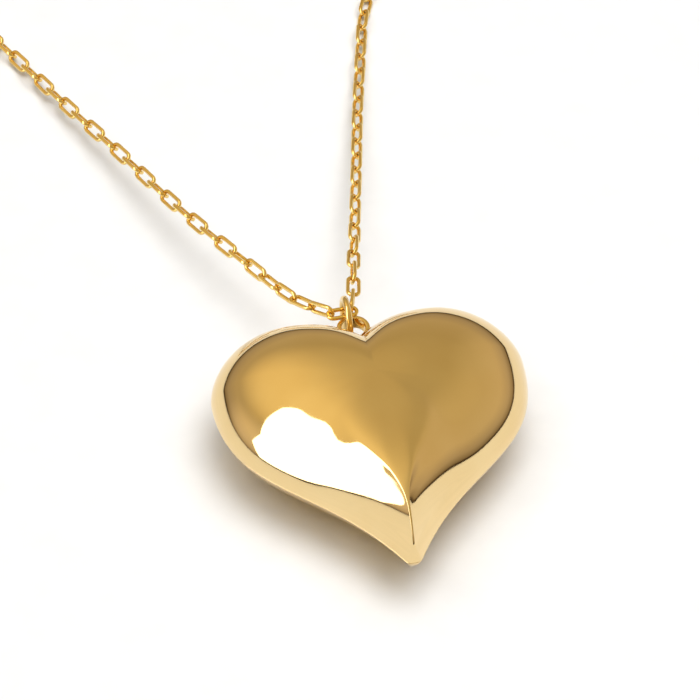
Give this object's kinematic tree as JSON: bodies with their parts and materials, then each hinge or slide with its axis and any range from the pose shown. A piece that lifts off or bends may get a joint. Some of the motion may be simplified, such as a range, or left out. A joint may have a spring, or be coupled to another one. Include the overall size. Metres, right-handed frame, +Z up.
{
  "type": "pendant necklace",
  "caption": "Necklace with a puffed hollow heart pendant hung by a jump ring from a fine cable chain, with an open spring-ring clasp and an end ring; loose ends lie coiled.",
  "frame": {"origin": "centre of the box round the heart and its loop, on the table that the heart's back rests on", "axes": "+Z up out of the table and the heart's front, +Y from the heart's tip to its loop, +X to the right seen from the front"},
  "size_m": [0.0498, 0.1152, 0.012],
  "materials": {
    "heart_gold": "mirror-polished pale yellow gold plate",
    "chain_gold": "polished yellow gold plate",
    "fitting_gold": "polished yellow gold plate",
    "spring_steel": "bright drawn spring wire"
  },
  "bodies": {
    "centre_link": {"centre_link": "chain_gold"},
    "jump_ring": {"jump_ring": "fitting_gold"},
    "heart": {"front_shell": "heart_gold", "rear_shell": "heart_gold", "heart_loop": "heart_gold"},
    "left_strand": {"link_left_01": "chain_gold", "link_left_02": "chain_gold", "link_left_03": "chain_gold", "link_left_04": "chain_gold", "link_left_05": "chain_gold", "link_left_06": "chain_gold", "left_strand_links": "chain_gold"},
    "left_coil": {"left_coil_outer_turn": "chain_gold", "left_coil_inner_turns": "chain_gold"},
    "end_ring": {"end_ring": "fitting_gold"},
    "right_strand": {"link_right_01": "chain_gold", "link_right_02": "chain_gold", "link_right_03": "chain_gold", "link_right_04": "chain_gold", "link_right_05": "chain_gold", "link_right_06": "chain_gold", "right_strand_links": "chain_gold"},
    "right_coil": {"right_coil_outer_turn": "chain_gold", "right_coil_inner_turns": "chain_gold"},
    "clasp_ring": {"clasp_ring": "fitting_gold"},
    "clasp_case": {"clasp_case": "fitting_gold", "clasp_spring": "spring_steel"},
    "clasp_bolt": {"clasp_bolt": "fitting_gold"}
  },
  "joints": [
    {"name": "chain_swing", "type": "hinge", "parent": "jump_ring", "child": "centre_link", "pos_m": [-0.00086, 0.01543, 0.00752], "axis": [1, 0, 0], "range_deg": [0, 30]},
    {"name": "heart_swing", "type": "hinge", "parent": "jump_ring", "child": "heart", "pos_m": [-0.00042, 0.01559, 0.0065], "axis": [1, 0, 0], "range_deg": [-20, 55]},
    {"name": "left_strand_fold", "type": "hinge", "parent": "centre_link", "child": "left_strand", "pos_m": [-0.00173, 0.01538, 0.00752], "axis": [0, 0, 1], "range_deg": [-1, 40]},
    {"name": "right_strand_fold", "type": "hinge", "parent": "centre_link", "child": "right_strand", "pos_m": [0.00001, 0.01549, 0.00752], "axis": [0, 0, 1], "range_deg": [-40, 1]},
    {"name": "left_coil_fold", "type": "hinge", "parent": "left_strand", "child": "left_coil", "pos_m": [-0.03424, 0.08931, 0.00059], "axis": [0, 0, 1], "range_deg": [-6, 25]},
    {"name": "right_coil_fold", "type": "hinge", "parent": "right_strand", "child": "right_coil", "pos_m": [0.01385, 0.08312, 0.00059], "axis": [0, 0, 1], "range_deg": [-25, 8]},
    {"name": "end_ring_swing", "type": "hinge", "parent": "left_coil", "child": "end_ring", "pos_m": [-0.0189, 0.08558, 0.00059], "axis": [0, 0, 1], "range_deg": [-6, 6]},
    {"name": "clasp_ring_swing", "type": "hinge", "parent": "right_coil", "child": "clasp_ring", "pos_m": [0.00426, 0.07757, 0.00059], "axis": [0, 0, 1], "range_deg": [-8, 8]},
    {"name": "clasp_swing", "type": "hinge", "parent": "clasp_ring", "child": "clasp_case", "pos_m": [0.00556, 0.07784, 0.00059], "axis": [0, 0, 1], "range_deg": [-12, 32]},
    {"name": "clasp_bolt_slide", "type": "hinge", "parent": "clasp_case", "child": "clasp_bolt", "pos_m": [0.0054, 0.0826, 0.00063], "axis": [0, 0, 1], "range_deg": [0, 47], "stiffness_Nm_per_rad": 0.000002, "springref_deg": -17.19}
  ]
}
